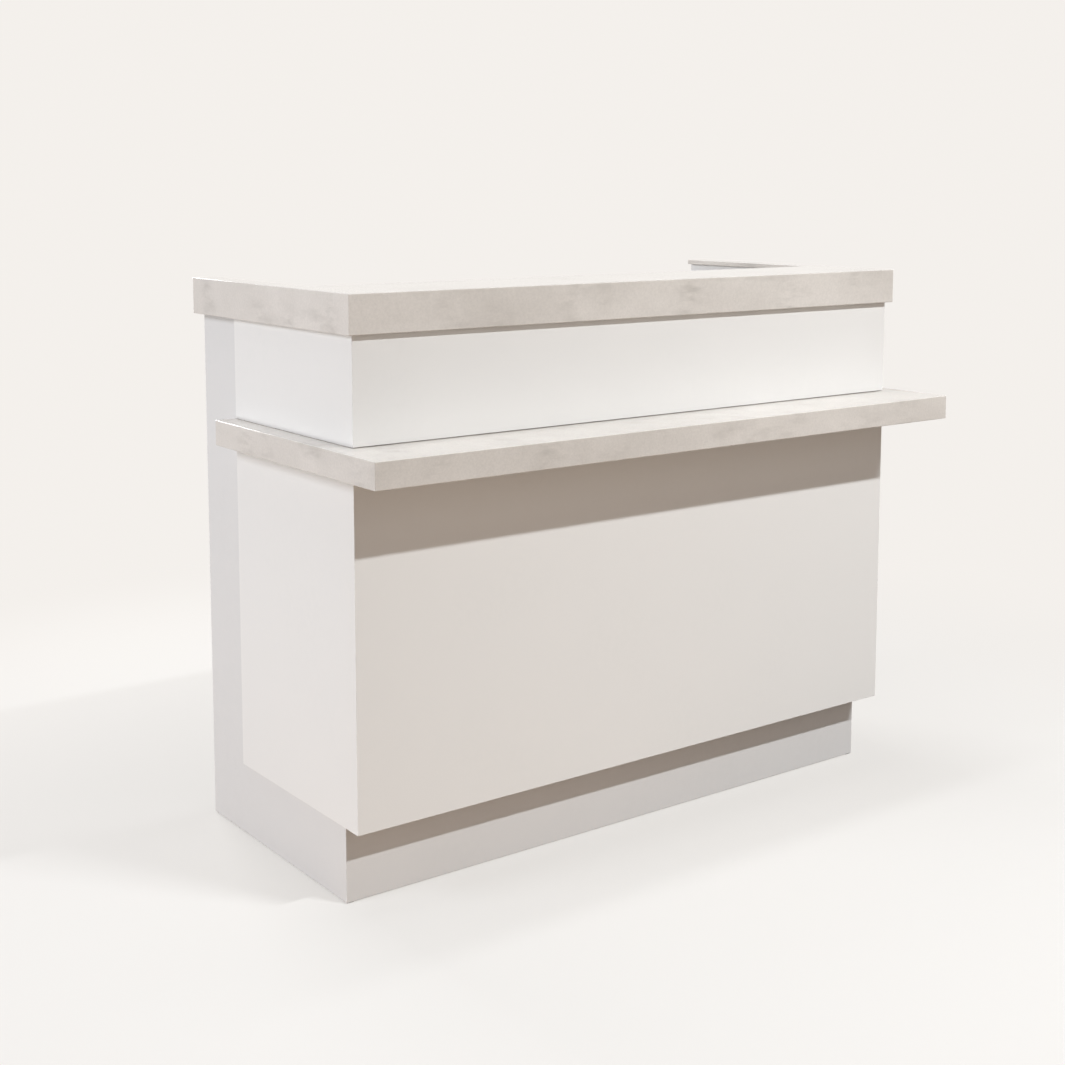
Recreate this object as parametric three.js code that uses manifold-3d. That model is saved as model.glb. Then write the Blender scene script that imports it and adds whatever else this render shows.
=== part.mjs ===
// A white gloss reception desk with a stone-look counter and a bag ledge wrapped round it.
// Millimetres, +Z up. The origin is on the floor, in the middle of the desk's plan.
// Visitors stand on the -Y side, staff sit on the +Y side, and +X is the visitors' right.
import * as THREE from 'three';
import { mergeVertices } from 'three/addons/utils/BufferGeometryUtils.js';
import Module from 'manifold-3d';

const wasm = await Module();
wasm.setup();

// Driving dimensions: overall
const overallWidth = 1400; // across the ledge
const overallDepth = 735; // from the ledge's front to the back of the counter's arms
const overallHeight = 1090; // from the floor to the counter's surface

// Driving dimensions: boards and sheets
const board = 18;
const sideCladding = 9;
const worktopThickness = 25;
const stone = 10; // thickness of the stone-look sheet and of its aprons
const gap = 0.3; // glue line or running clearance between neighbours

// Driving dimensions: overhangs and setbacks, from the face of the front cladding
const ledgeFrontOverhang = 140;
const ledgeSideOverhang = 41;
const counterOverhang = 12;
const plinthRecess = 58;
const claddingReturn = 442;
const ledgeReturn = 446;
const counterShelfBack = 208; // staff-side edge of the counter's wide part
const sheetNose = 8; // how far the counter sheet stands past what carries it
const gableReturn = 592;

// Driving dimensions: heights
const footHeight = 1.5;
const claddingBottom = 147;
const ledgeBottom = 780;
const ledgeThickness = 48;
const shadowGap = 1; // fine dark line between the ledge and the front panel above it
const counterDrop = 70;
const worktopHeight = 740;

// Driving dimensions: staff side
const drawerBayWidth = 380;
const shelfBayWidth = 300;
const bayFloorBottom = 40;
const frontSetback = 36; // drawer fronts and partitions, behind the back of the gables
const worktopSetback = 20;
const shelfHeight = 380;

// Places worked out from the driving dimensions
const halfLedge = overallWidth / 2;
const halfCladding = halfLedge - ledgeSideOverhang;
const halfCounter = halfCladding + counterOverhang;
const halfBody = halfCladding - sideCladding;
const halfInside = halfBody - board;
const armInner = halfInside - sheetNose;

const faceY = ledgeFrontOverhang - overallDepth / 2;
const ledgeFrontY = faceY - ledgeFrontOverhang;
const ledgeBackY = faceY + ledgeReturn;
const counterFrontY = faceY - counterOverhang;
const counterBackY = overallDepth / 2;
const counterShelfBackY = faceY + counterShelfBack;
const claddingBackY = faceY + claddingReturn;
const carcassY = faceY + plinthRecess;
const insideY = carcassY + board;
const gableBackY = faceY + gableReturn;
const bayBackY = gableBackY - frontSetback;
const worktopBackY = gableBackY - worktopSetback;

const counterBottom = overallHeight - counterDrop;
const sheetBottom = overallHeight - stone;
const subtopBottom = sheetBottom - gap - board;
const ledgeTop = ledgeBottom + ledgeThickness;
const upperCladdingBottom = ledgeTop + shadowGap;
const worktopBottom = worktopHeight - worktopThickness;
const bayFloorTop = bayFloorBottom + board;

const drawerPartitionX = halfInside - drawerBayWidth - board;
const shelfPartitionX = -halfInside + shelfBayWidth;

// Finishes
const finish = (color, roughness, metalness = 0) => () =>
  new THREE.MeshStandardMaterial({ color, roughness, metalness });
const glossWhite = finish(0xf1efec, 0.12);
const stoneLook = finish(0xdcd6cc, 0.2);
const whiteMelamine = finish(0xeceae6, 0.5);
const rawBoard = finish(0xc4a878, 0.85);
const greyWrap = finish(0xc9ccce, 0.55);
const zincSteel = finish(0xb9bdc2, 0.35, 0.9);
const satinSteel = finish(0xc3c4c5, 0.3, 1);
const blackPlastic = finish(0x26272a, 0.6);
const greyPlastic = finish(0x9b9ea1, 0.5);

const desk = new THREE.Group();

function addPiece(name, geometry, material) {
  const piece = new THREE.Mesh(geometry, material());
  piece.name = name;
  desk.add(piece);
  return piece;
}

// A rectangular board between two corners, given as [low, high] on each axis
function addBoard(name, x, y, z, material) {
  const geometry = new THREE.BoxGeometry(x[1] - x[0], y[1] - y[0], z[1] - z[0]);
  const piece = addPiece(name, geometry, material);
  piece.position.set((x[0] + x[1]) / 2, (y[0] + y[1]) / 2, (z[0] + z[1]) / 2);
  return piece;
}

function boxGeometry(x, y, z) {
  const geometry = new THREE.BoxGeometry(x[1] - x[0], y[1] - y[0], z[1] - z[0]);
  return geometry.translate((x[0] + x[1]) / 2, (y[0] + y[1]) / 2, (z[0] + z[1]) / 2);
}

// Joins and cuts work on merged vertices
function toSolid(geometry) {
  const bare = geometry.clone();
  bare.deleteAttribute('normal');
  bare.deleteAttribute('uv');
  const merged = mergeVertices(bare);
  const vertProperties = new Float32Array(merged.attributes.position.array);
  const triVerts = new Uint32Array(merged.index.array);
  return new wasm.Manifold(new wasm.Mesh({ numProp: 3, vertProperties, triVerts }));
}

function toGeometry(solid) {
  const mesh = solid.getMesh();
  const geometry = new THREE.BufferGeometry();
  geometry.setAttribute('position', new THREE.BufferAttribute(mesh.vertProperties, 3));
  geometry.setIndex(new THREE.BufferAttribute(mesh.triVerts, 1));
  geometry.computeVertexNormals();
  return geometry;
}

// An upright prism on a plan outline
function prismGeometry(outline, bottom, top, holes = []) {
  const shape = new THREE.Shape(outline.map(([x, y]) => new THREE.Vector2(x, y)));
  shape.holes.push(...holes);
  const options = { depth: top - bottom, bevelEnabled: false, curveSegments: 16 };
  return new THREE.ExtrudeGeometry(shape, options).translate(0, 0, bottom);
}

// The plan of a board that runs across the front and back along both sides, open to the staff
function wrapOutline(outerX, frontY, backY, innerX, innerY) {
  return [
    [-outerX, backY],
    [-outerX, frontY],
    [outerX, frontY],
    [outerX, backY],
    [innerX, backY],
    [innerX, innerY],
    [-innerX, innerY],
    [-innerX, backY],
  ];
}

// The stone sheet: its front and side edges are mitred underneath, where the aprons fold down
function mitredSheet(outerX, frontY, backY, innerX, innerY, top) {
  const outline = wrapOutline(outerX, frontY, backY, innerX, innerY);
  const geometry = prismGeometry(outline, top - stone, top);
  const place = geometry.attributes.position;
  for (let i = 0; i < place.count; i += 1) {
    const isUnderside = place.getZ(i) < top - stone / 2;
    if (isUnderside) {
      const x = THREE.MathUtils.clamp(place.getX(i), stone - outerX, outerX - stone);
      place.setX(i, x);
      place.setY(i, Math.max(place.getY(i), frontY + stone));
    }
  }
  geometry.computeVertexNormals();
  return geometry;
}

// A straight stone bar with six faces: a plan quadrilateral whose inner edge stops lower, so
// that the bar's mitre meets the sheet's. The corners go anticlockwise seen from above:
// two on the outer face, then two on the inner face.
function apronBar(corners, bottom, top) {
  const innerTop = top - stone - gap;
  const tops = [top, top, innerTop, innerTop];
  const points = [
    ...corners.flatMap(([x, y]) => [x, y, bottom]),
    ...corners.flatMap(([x, y], i) => [x, y, tops[i]]),
  ];
  const faces = [0, 2, 1, 0, 3, 2, 4, 5, 6, 4, 6, 7];
  for (let i = 0; i < 4; i += 1) {
    const next = (i + 1) % 4;
    faces.push(i, next, next + 4, i, next + 4, i + 4);
  }
  const geometry = new THREE.BufferGeometry();
  geometry.setAttribute('position', new THREE.Float32BufferAttribute(points, 3));
  geometry.setIndex(faces);
  geometry.computeVertexNormals();
  return geometry;
}

// The three aprons of a sheet: the front one is mitred at both ends, and each side one is
// mitred at the front and turns in behind the arm's end to meet the carcass.
function addAprons(prefix, outerX, frontY, backY, carcassX, bottom, top) {
  const innerX = outerX - stone;
  const innerY = frontY + stone;
  const front = [
    [-outerX, frontY],
    [outerX, frontY],
    [innerX, innerY],
    [-innerX, innerY],
  ];
  addPiece(`${prefix}_front_apron`, apronBar(front, bottom, top), stoneLook);
  const right = [
    [outerX, frontY],
    [outerX, backY],
    [innerX, backY],
    [innerX, innerY + gap],
  ];
  const bar = toSolid(apronBar(right, bottom, top));
  const overlap = stone / 2;
  const endTurn = boxGeometry(
    [carcassX + gap, innerX + overlap],
    [backY - stone, backY],
    [bottom, top - stone - gap - overlap / 2],
  );
  const rightSolid = bar.add(toSolid(endTurn));
  addPiece(`${prefix}_right_apron`, toGeometry(rightSolid), stoneLook);
  addPiece(`${prefix}_left_apron`, toGeometry(rightSolid.mirror([1, 0, 0])), stoneLook);
}

// Counter: a thin stone-look sheet with deep aprons, on a subtop between the gables
function buildCounter() {
  const sheet = mitredSheet(
    halfCounter,
    counterFrontY,
    counterBackY,
    armInner,
    counterShelfBackY,
    overallHeight,
  );
  addPiece('counter_top_sheet', sheet, stoneLook);
  addAprons(
    'counter',
    halfCounter,
    counterFrontY,
    counterBackY,
    halfBody,
    counterBottom,
    overallHeight,
  );
  addBoard(
    'counter_subtop',
    [-halfInside + gap, halfInside - gap],
    [faceY + board + gap, counterShelfBackY - sheetNose],
    [subtopBottom, sheetBottom - gap],
    whiteMelamine,
  );
}

// Ledge: the same make-up, bonded to a core that reaches in to the carcass
function buildLedge() {
  const innerX = halfBody + gap;
  const innerY = carcassY - gap;
  const sheet = mitredSheet(halfLedge, ledgeFrontY, ledgeBackY, innerX, innerY, ledgeTop);
  addPiece('ledge_top_sheet', sheet, stoneLook);
  addAprons('ledge', halfLedge, ledgeFrontY, ledgeBackY, halfBody, ledgeBottom, ledgeTop);
  const coreOutline = wrapOutline(
    halfLedge - stone - gap,
    ledgeFrontY + stone + gap,
    ledgeBackY - stone - gap,
    innerX,
    innerY,
  );
  const core = prismGeometry(coreOutline, ledgeBottom, ledgeTop - stone - gap);
  addPiece('ledge_core', core, whiteMelamine);
}

// Gloss cladding: one front panel and two side panels, above and below the ledge. The corner is
// mitred through the side panel's thickness, so only an arris shows. Side panels may reach lower.
function buildCladding(level, bottom, top, sideBottom = bottom) {
  const mitreY = faceY + sideCladding;
  const frontBackY = faceY + board;
  const front = [
    [-halfCladding, faceY],
    [halfCladding, faceY],
    [halfBody, mitreY],
    [halfBody, frontBackY],
    [-halfBody, frontBackY],
    [-halfBody, mitreY],
  ];
  addPiece(`${level}_front_panel`, prismGeometry(front, bottom, top), glossWhite);
  const sideInner = halfBody + gap;
  for (const [side, sign] of [
    ['left', -1],
    ['right', 1],
  ]) {
    const outline = [
      [sign * halfCladding, faceY],
      [sign * halfCladding, claddingBackY],
      [sign * sideInner, claddingBackY],
      [sign * sideInner, mitreY],
    ];
    addPiece(`${level}_${side}_panel`, prismGeometry(outline, sideBottom, top), glossWhite);
  }
}

// Carcass: gables to the floor, with the modesty panel and the plinth board across the front.
// The front corners are mitred, so the plinth shows an arris there and no board edge.
function buildCarcass() {
  for (const [side, sign] of [
    ['left', -1],
    ['right', 1],
  ]) {
    const gable = [
      [sign * halfBody, carcassY],
      [sign * halfBody, gableBackY],
      [sign * halfInside, gableBackY],
      [sign * halfInside, insideY + gap],
    ];
    const geometry = prismGeometry(gable, footHeight, sheetBottom - gap);
    addPiece(`${side}_gable`, geometry, glossWhite);
  }
  const across = [
    [-halfBody, carcassY],
    [halfBody, carcassY],
    [halfInside, insideY],
    [-halfInside, insideY],
  ];
  const modesty = prismGeometry(across, claddingBottom + gap, subtopBottom - gap);
  addPiece('modesty_panel', modesty, whiteMelamine);
  const plinth = prismGeometry(across, footHeight, claddingBottom);
  addPiece('plinth_board', plinth, glossWhite);
}

// Rails that space the front cladding off the modesty panel
function buildRails() {
  const width = [-halfBody, halfBody];
  const depth = [faceY + board + gap, carcassY - gap];
  const upperTop = subtopBottom - gap;
  const bearerTop = ledgeBottom - gap;
  addBoard('upper_rail', width, depth, [upperTop - board, upperTop], rawBoard);
  addBoard('ledge_bearer_rail', width, depth, [bearerTop - board, bearerTop], rawBoard);
  addBoard('closing_rail', width, depth, [claddingBottom, claddingBottom + board], glossWhite);
}

// Worktop, with a round hole for cables over the knee space
const grommetX = (drawerPartitionX + shelfPartitionX + board) / 2;
const grommetY = insideY + 60;
const grommetHole = 30;

function buildWorktop() {
  const x = halfInside - gap;
  const frontY = insideY + gap;
  const outline = [
    [-x, frontY],
    [x, frontY],
    [x, worktopBackY],
    [-x, worktopBackY],
  ];
  const hole = new THREE.Path().absarc(grommetX, grommetY, grommetHole, 0, Math.PI * 2, true);
  const top = prismGeometry(outline, worktopBottom, worktopHeight, [hole]);
  addPiece('worktop', top, whiteMelamine);
}

// Cable grommet: a flanged liner in the hole, and a cap with a cable notch that turns in it
function buildGrommet() {
  const linerBore = 27.5;
  const linerOuter = grommetHole - gap;
  const linerDepth = 22;
  const flangeRadius = 35;
  const flangeTop = 2.6;
  const seatRadius = 31.2;
  const seatLevel = 1.2;
  const turnPieces = 32;
  const asRing = (profile) => {
    const points = profile.map(([r, z]) => new THREE.Vector2(r, z));
    const geometry = new THREE.LatheGeometry(points, turnPieces);
    return geometry.rotateX(Math.PI / 2);
  };
  const liner = asRing([
    [linerBore, -linerDepth],
    [linerOuter, -linerDepth],
    [linerOuter, gap],
    [flangeRadius, gap],
    [flangeRadius, flangeTop],
    [seatRadius, flangeTop],
    [seatRadius, seatLevel],
    [linerBore, seatLevel],
    [linerBore, -linerDepth],
  ]);
  const capRadius = seatRadius - 0.5;
  const capBottom = seatLevel + gap;
  const capTop = 3;
  const skirtOuter = linerBore - 0.5;
  const skirtInner = skirtOuter - 1.8;
  const skirtBottom = -8;
  const disc = asRing([
    [0, capBottom],
    [skirtInner, capBottom],
    [skirtInner, skirtBottom],
    [skirtOuter, skirtBottom],
    [skirtOuter, capBottom],
    [capRadius, capBottom],
    [capRadius, capTop],
    [0, capTop],
  ]);
  const notchHalf = 8;
  const notchStart = 12;
  const notch = boxGeometry(
    [notchStart, flangeRadius],
    [-notchHalf, notchHalf],
    [skirtBottom - 1, capTop + 1],
  );
  const cap = toGeometry(toSolid(disc).subtract(toSolid(notch)));
  const linerPiece = addPiece('grommet_liner', liner, greyPlastic);
  const capPiece = addPiece('grommet_cap', cap, greyPlastic);
  linerPiece.position.set(grommetX, grommetY, worktopHeight);
  capPiece.position.set(grommetX, grommetY, worktopHeight);
}

// Bays: a partition each side of the knee space, with a floor in each bay and one fixed shelf
function buildBays() {
  const depth = [insideY + gap, bayBackY];
  const height = [footHeight, worktopBottom - gap];
  const drawerSide = [drawerPartitionX, drawerPartitionX + board];
  const shelfSide = [shelfPartitionX, shelfPartitionX + board];
  addBoard('drawer_partition', drawerSide, depth, height, whiteMelamine);
  addBoard('shelf_partition', shelfSide, depth, height, whiteMelamine);
  const drawerBay = [drawerSide[1] + gap, halfInside - gap];
  const shelfBay = [-halfInside + gap, shelfSide[0] - gap];
  const floorHeight = [bayFloorBottom, bayFloorTop];
  addBoard('drawer_bay_floor', drawerBay, depth, floorHeight, whiteMelamine);
  addBoard('shelf_bay_floor', shelfBay, depth, floorHeight, whiteMelamine);
  const shelfSetback = 10;
  const shelfDepth = [depth[0], depth[1] - shelfSetback];
  addBoard('fixed_shelf', shelfBay, shelfDepth, [shelfHeight, shelfHeight + board], whiteMelamine);
}

// Foot strips keep the bottom edges of the upright boards off the floor
function buildFeet() {
  const footInset = 2;
  const addFoot = (name, x, depth) =>
    addBoard(
      name,
      [x + footInset, x + board - footInset],
      [depth[0] + footInset, depth[1] - footInset],
      [0, footHeight - gap],
      blackPlastic,
    );
  addFoot('right_gable_foot', halfInside, [carcassY, gableBackY]);
  addFoot('left_gable_foot', -halfBody, [carcassY, gableBackY]);
  addFoot('drawer_partition_foot', drawerPartitionX, [insideY, bayBackY]);
  addFoot('shelf_partition_foot', shelfPartitionX, [insideY, bayBackY]);
}

// Drawers: the fronts fill the bay from its floor to the worktop, with a reveal round each
const reveal = 3;
const frontSideGap = 2.5;
const drawerSizes = [
  { name: 'file', frontHeight: 314, boxHeight: 240 },
  { name: 'middle', frontHeight: 165, boxHeight: 115 },
  { name: 'top', frontHeight: 165, boxHeight: 115 },
];
const bayLeft = drawerPartitionX + board;
const bayRight = halfInside;
const boxLift = 20; // underside of the drawer box, above the bottom of its front
const boxLength = 410;
const wrapThickness = 12;
const baseThickness = 4;
const baseLift = 10;
const grooveDepth = 6;

// Runner section: a rail with turned-in lips on the carcass, and a hat-shaped runner on the
// drawer whose flanges run behind those lips. Distances are from the bay's wall and from mid height.
const runnerThickness = 12.7;
const runnerLength = 400;
const metal = 1.2;
const railHalf = 17.5;
const railReach = 11;
const lipDepth = 2.9;
const runnerHalf = railHalf - lipDepth - 0.4;
const runnerFlange = railHalf - metal - 0.4;
const flangeReach = 7.9;

function railSection() {
  return [
    [gap, -railHalf],
    [railReach, -railHalf],
    [railReach, lipDepth - railHalf],
    [railReach - metal, lipDepth - railHalf],
    [railReach - metal, metal - railHalf],
    [gap + metal, metal - railHalf],
    [gap + metal, railHalf - metal],
    [railReach - metal, railHalf - metal],
    [railReach - metal, railHalf - lipDepth],
    [railReach, railHalf - lipDepth],
    [railReach, railHalf],
    [gap, railHalf],
  ];
}

function runnerSection() {
  const web = runnerThickness - metal;
  const flangeEnd = flangeReach + metal;
  return [
    [runnerThickness, -runnerHalf],
    [runnerThickness, runnerHalf],
    [flangeEnd, runnerHalf],
    [flangeEnd, runnerFlange],
    [flangeReach, runnerFlange],
    [flangeReach, runnerHalf - metal],
    [web, runnerHalf - metal],
    [web, metal - runnerHalf],
    [flangeReach, metal - runnerHalf],
    [flangeReach, -runnerFlange],
    [flangeEnd, -runnerFlange],
    [flangeEnd, -runnerHalf],
  ];
}

// A section drawn from a bay wall, extruded along the drawer's travel; side is 1 or -1
function runnerGeometry(section, side) {
  const points = section.map(([x, z]) => [side * x, z]);
  return prismGeometry(points, 0, runnerLength).rotateX(-Math.PI / 2);
}

// A round bar bent into a bow handle, from its two ends on the drawer front
function handleGeometry() {
  const halfSpan = 64;
  const projection = 29;
  const bend = 12;
  const radius = 5;
  const path = new THREE.CurvePath();
  const at = (x, y) => new THREE.Vector3(x, y, 0);
  path.add(new THREE.LineCurve3(at(-halfSpan, 0), at(-halfSpan, projection - radius - bend)));
  path.add(
    new THREE.QuadraticBezierCurve3(
      at(-halfSpan, projection - radius - bend),
      at(-halfSpan, projection - radius),
      at(bend - halfSpan, projection - radius),
    ),
  );
  path.add(
    new THREE.LineCurve3(
      at(bend - halfSpan, projection - radius),
      at(halfSpan - bend, projection - radius),
    ),
  );
  path.add(
    new THREE.QuadraticBezierCurve3(
      at(halfSpan - bend, projection - radius),
      at(halfSpan, projection - radius),
      at(halfSpan, projection - radius - bend),
    ),
  );
  path.add(new THREE.LineCurve3(at(halfSpan, projection - radius - bend), at(halfSpan, 0)));
  const section = new THREE.Shape().absarc(0, 0, radius, 0, Math.PI * 2);
  const options = { steps: 36, curveSegments: 6, bevelEnabled: false, extrudePath: path };
  return new THREE.ExtrudeGeometry(section, options);
}

function buildDrawer({ name, frontHeight, boxHeight }, bottom) {
  const frontInner = bayBackY - board;
  const middleX = (bayLeft + bayRight) / 2;
  addBoard(
    `${name}_drawer_front`,
    [bayLeft + frontSideGap, bayRight - frontSideGap],
    [frontInner, bayBackY],
    [bottom, bottom + frontHeight],
    whiteMelamine,
  );
  const handle = addPiece(`${name}_drawer_handle`, handleGeometry(), satinSteel);
  handle.position.set(middleX, bayBackY + gap, bottom + frontHeight / 2);

  // The wrap is one folded board: two sides and a back, grooved round the inside for the base
  const boxBottom = bottom + boxLift;
  const boxX = [bayLeft + runnerThickness + gap, bayRight - runnerThickness - gap];
  const boxY = [frontInner - gap - boxLength, frontInner - gap];
  const innerX = [boxX[0] + wrapThickness, boxX[1] - wrapThickness];
  const innerBackY = boxY[0] + wrapThickness;
  const wrapOutlinePoints = [
    [boxX[0], boxY[1]],
    [boxX[0], boxY[0]],
    [boxX[1], boxY[0]],
    [boxX[1], boxY[1]],
    [innerX[1], boxY[1]],
    [innerX[1], innerBackY],
    [innerX[0], innerBackY],
    [innerX[0], boxY[1]],
  ];
  const wrap = prismGeometry(wrapOutlinePoints, boxBottom, boxBottom + boxHeight);
  const baseX = [innerX[0] - grooveDepth, innerX[1] + grooveDepth];
  const baseY = [innerBackY - grooveDepth, boxY[1]];
  const baseZ = [boxBottom + baseLift, boxBottom + baseLift + baseThickness];
  const groove = boxGeometry(
    [baseX[0] - gap, baseX[1] + gap],
    [baseY[0] - gap, baseY[1] + 1],
    [baseZ[0] - gap, baseZ[1] + gap],
  );
  const grooved = toGeometry(toSolid(wrap).subtract(toSolid(groove)));
  addPiece(`${name}_drawer_wrap`, grooved, greyWrap);
  addBoard(`${name}_drawer_base`, baseX, baseY, baseZ, whiteMelamine);

  // One rail on each wall of the bay, and one runner on each side of the drawer
  const runnerZ = boxBottom + railHalf + 22;
  const railY = boxY[1] - runnerLength - 8;
  const runnerY = railY + 4;
  for (const [side, wallX, direction] of [
    ['left', bayLeft, 1],
    ['right', bayRight, -1],
  ]) {
    const railGeometry = runnerGeometry(railSection(), direction);
    const rail = addPiece(`${name}_drawer_${side}_rail`, railGeometry, zincSteel);
    rail.position.set(wallX, railY, runnerZ);
    const onDrawer = runnerGeometry(runnerSection(), direction);
    const runner = addPiece(`${name}_drawer_${side}_runner`, onDrawer, zincSteel);
    runner.position.set(wallX, runnerY, runnerZ);
  }
}

function buildDrawers() {
  let bottom = bayFloorTop + reveal;
  for (const size of drawerSizes) {
    buildDrawer(size, bottom);
    bottom += size.frontHeight + reveal;
  }
}

buildCounter();
buildLedge();
buildCladding('upper', upperCladdingBottom, sheetBottom - gap, ledgeTop + gap);
buildCladding('lower', claddingBottom, ledgeBottom - gap);
buildCarcass();
buildRails();
buildWorktop();
buildGrommet();
buildBays();
buildFeet();
buildDrawers();

export default desk;
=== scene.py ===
import math

import bpy
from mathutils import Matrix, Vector


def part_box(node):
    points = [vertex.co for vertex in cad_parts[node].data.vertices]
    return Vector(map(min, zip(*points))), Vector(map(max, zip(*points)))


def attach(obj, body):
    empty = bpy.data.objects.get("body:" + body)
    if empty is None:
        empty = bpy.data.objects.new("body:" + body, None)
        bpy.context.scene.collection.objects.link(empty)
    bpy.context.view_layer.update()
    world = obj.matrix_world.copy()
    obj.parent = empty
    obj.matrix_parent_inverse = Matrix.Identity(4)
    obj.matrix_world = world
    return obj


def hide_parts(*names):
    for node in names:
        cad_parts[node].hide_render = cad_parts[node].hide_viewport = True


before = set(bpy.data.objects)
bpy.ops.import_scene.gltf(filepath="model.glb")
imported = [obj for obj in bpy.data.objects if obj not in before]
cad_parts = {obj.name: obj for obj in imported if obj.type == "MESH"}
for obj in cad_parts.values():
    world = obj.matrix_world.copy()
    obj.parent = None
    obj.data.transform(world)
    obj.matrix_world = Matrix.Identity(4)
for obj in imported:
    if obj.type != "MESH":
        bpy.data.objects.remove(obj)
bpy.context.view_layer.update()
scene = bpy.context.scene
scene.view_settings.view_transform = "Standard"
xAxis, yAxis, zAxis = 0, 1, 2
print("frame loaded,", len(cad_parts), "nodes")


# camera, standing to the visitors' left and a little above the counter
cameraSettings = {
    "place": (-2.0146, -2.5771, 1.2671),
    "pitchDown": 6.5685,  # degrees below level
    "turnRight": 36.389,  # degrees from straight at the front
    "lens": 54.69,
    "shiftUp": -0.15,  # share of the picture's side
}


def placeCamera():
    bpy.ops.object.camera_add(location=cameraSettings["place"])
    camera = bpy.context.object
    camera.name = "camera"
    tilt = math.radians(90 - cameraSettings["pitchDown"])
    camera.rotation_euler = (tilt, 0, -math.radians(cameraSettings["turnRight"]))
    camera.data.sensor_width = 36
    camera.data.lens = cameraSettings["lens"]
    camera.data.shift_y = cameraSettings["shiftUp"]
    scene.camera = camera


placeCamera()
print("camera placed")


# modelling: each helper works on one piece and leaves it in object mode
def pickPiece(piece):
    bpy.ops.object.select_all(action="DESELECT")
    piece.select_set(True)
    bpy.context.view_layer.objects.active = piece


def openPiece(piece, selectBy="FACE"):
    pickPiece(piece)
    bpy.ops.object.mode_set(mode="EDIT")
    bpy.ops.mesh.select_mode(type=selectBy)


def closePiece():
    bpy.ops.object.mode_set(mode="OBJECT")


# the new primitive's place goes into its mesh
def settlePrimitive(name):
    piece = bpy.context.object
    piece.name = name
    pickPiece(piece)
    bpy.ops.object.transform_apply(location=True, rotation=True, scale=True)
    return piece


def startBlock(name, low, high):
    bpy.ops.object.select_all(action="DESELECT")
    low = Vector(low)
    high = Vector(high)
    bpy.ops.mesh.primitive_cube_add(size=1, location=(low + high) / 2, scale=high - low)
    return settlePrimitive(name)


# faces are picked by their middle point and normal
def pickFaces(piece, rule):
    openPiece(piece)
    bpy.ops.mesh.select_all(action="DESELECT")
    closePiece()
    for face in piece.data.polygons:
        face.select = rule(face.center, face.normal)
    bpy.ops.object.mode_set(mode="EDIT")


def pullFaces(piece, rule, move):
    pickFaces(piece, rule)
    bpy.ops.mesh.extrude_region_move(TRANSFORM_OT_translate={"value": move})
    closePiece()


def cutAcross(piece, axis, places):
    openPiece(piece)
    normal = [0, 0, 0]
    normal[axis] = 1
    for place in places:
        point = [0, 0, 0]
        point[axis] = place
        bpy.ops.mesh.select_all(action="SELECT")
        bpy.ops.mesh.bisect(plane_co=point, plane_no=normal)
    closePiece()


def easeArrises(piece, width, steps=3, sharpAngle=30):
    openPiece(piece, "EDGE")
    bpy.ops.mesh.select_all(action="DESELECT")
    bpy.ops.mesh.edges_select_sharp(sharpness=math.radians(sharpAngle))
    bpy.ops.mesh.bevel(offset=width, segments=steps, affect="EDGES", clamp_overlap=True)
    closePiece()


def smoothRound(piece, angle=40):
    pickPiece(piece)
    bpy.ops.object.shade_smooth_by_angle(angle=math.radians(angle))


# takes the cutter's shape out of the piece and removes the cutter
def cutAway(piece, cutter):
    pickPiece(piece)
    cut = piece.modifiers.new("cut", "BOOLEAN")
    cut.operation = "DIFFERENCE"
    cut.solver = "EXACT"
    cut.object = cutter
    bpy.ops.object.modifier_apply(modifier=cut.name)
    bpy.data.objects.remove(cutter)


# a turned piece on an upright axis: a ring is extruded from each (radius, height) to the next,
# and a profile that doesn't come back to its start is closed by a flat face at each end
def turnPiece(name, foot, profile, ringSteps=64):
    bpy.ops.object.select_all(action="DESELECT")
    foot = Vector(foot)
    radius, height = profile[0]
    start = foot + Vector((0, 0, height))
    bpy.ops.mesh.primitive_circle_add(vertices=ringSteps, radius=radius, location=start)
    piece = settlePrimitive(name)
    openPiece(piece, "EDGE")
    bpy.ops.mesh.select_all(action="SELECT")
    for nextRadius, nextHeight in profile[1:]:
        rise = (0, 0, nextHeight - height)
        bpy.ops.mesh.extrude_region_move(TRANSFORM_OT_translate={"value": rise})
        grow = nextRadius / radius
        bpy.ops.transform.resize(value=(grow, grow, 1), center_override=foot)
        radius, height = nextRadius, nextHeight
    bpy.ops.mesh.select_all(action="SELECT")
    bpy.ops.mesh.remove_doubles(threshold=0.000001)
    bpy.ops.mesh.fill_holes(sides=0)
    bpy.ops.mesh.select_all(action="SELECT")
    bpy.ops.mesh.normals_make_consistent(inside=False)
    closePiece()
    return piece


# a piece that runs across the front and comes back along both sides
def bendRound(name, low, high, armWidth, frontDepth):
    low = Vector(low)
    high = Vector(high)
    piece = startBlock(name, low, (high.x, low.y + frontDepth, high.z))
    leftInner = low.x + armWidth
    rightInner = high.x - armWidth
    cutAcross(piece, xAxis, (leftInner, rightInner))

    def isArmEnd(middle, normal):
        return normal.y > 0.9 and not leftInner < middle.x < rightInner

    pullFaces(piece, isArmEnd, (0, high.y - low.y - frontDepth, 0))
    return piece


# copies of one small model, each turned to its direction and set in its place, joined in one piece
def setCopies(model, name, places, direction):
    copies = []
    for place in places:
        pickPiece(model)
        bpy.ops.object.duplicate()
        copy = bpy.context.object
        copy.rotation_euler = Vector(direction).to_track_quat("Z", "Y").to_euler()
        copy.location = place
        copies.append(copy)
    pickPiece(copies[0])
    for copy in copies:
        copy.select_set(True)
    bpy.ops.object.join()
    return settlePrimitive(name)


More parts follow.
